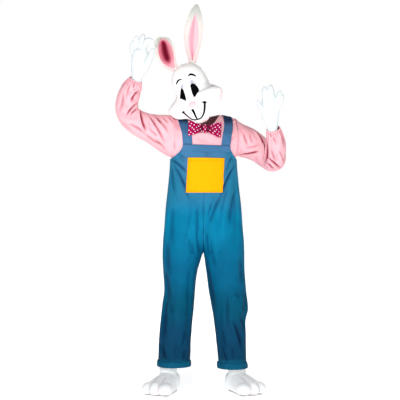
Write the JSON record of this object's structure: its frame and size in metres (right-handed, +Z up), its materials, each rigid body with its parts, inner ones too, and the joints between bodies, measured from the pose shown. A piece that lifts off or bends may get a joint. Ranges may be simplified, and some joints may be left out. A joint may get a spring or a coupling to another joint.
{
  "type": "rabbit costume",
  "caption": "Full-body rabbit costume in its worn form: eared head mask, pink shirt, blue bib overalls, yellow pocket, spotted bow tie, white gloves and feet.",
  "frame": {"origin": "on the centre line at shoulder height, 1.42 m above the soles, where the wearer carries the costume", "axes": "+X to the wearer's left hand, -Y out of the front, +Z up"},
  "size_m": [0.8704, 0.3551, 2.0017],
  "materials": {
    "overalls_cloth": "matte woven cotton, faint sheen",
    "pocket_cloth": "matte woven cotton",
    "shirt_cloth": "matte soft cotton",
    "mask_shell": "matte white, airbrushed blush",
    "ear_lining": "matte pink",
    "eye": "satin black",
    "nose": "matte pink",
    "bow_cloth": "satin magenta with white spots",
    "glove_cloth": "matte white knit",
    "foot_plush": "short white plush"
  },
  "bodies": {
    "root": {"overalls_front_right": "overalls_cloth", "overalls_front_left": "overalls_cloth", "overalls_back_right": "overalls_cloth", "overalls_back_left": "overalls_cloth", "bib_band": "overalls_cloth", "turn_up_right": "overalls_cloth", "turn_up_left": "overalls_cloth", "strap_right": "overalls_cloth", "strap_left": "overalls_cloth", "pocket": "pocket_cloth", "shirt_front": "shirt_cloth", "shirt_back": "shirt_cloth", "sleeve_right": "shirt_cloth", "sleeve_left": "shirt_cloth", "mask": "mask_shell", "ear_right": "mask_shell", "ear_left": "mask_shell", "ear_lining_right": "ear_lining", "ear_lining_left": "ear_lining", "eye_right": "eye", "eye_left": "eye", "nose": "nose", "bow_right": "bow_cloth", "bow_left": "bow_cloth", "bow_knot": "bow_cloth", "glove_left": "glove_cloth", "glove_right": "glove_cloth", "foot_right": "foot_plush", "foot_left": "foot_plush"}
  },
  "joints": []
}
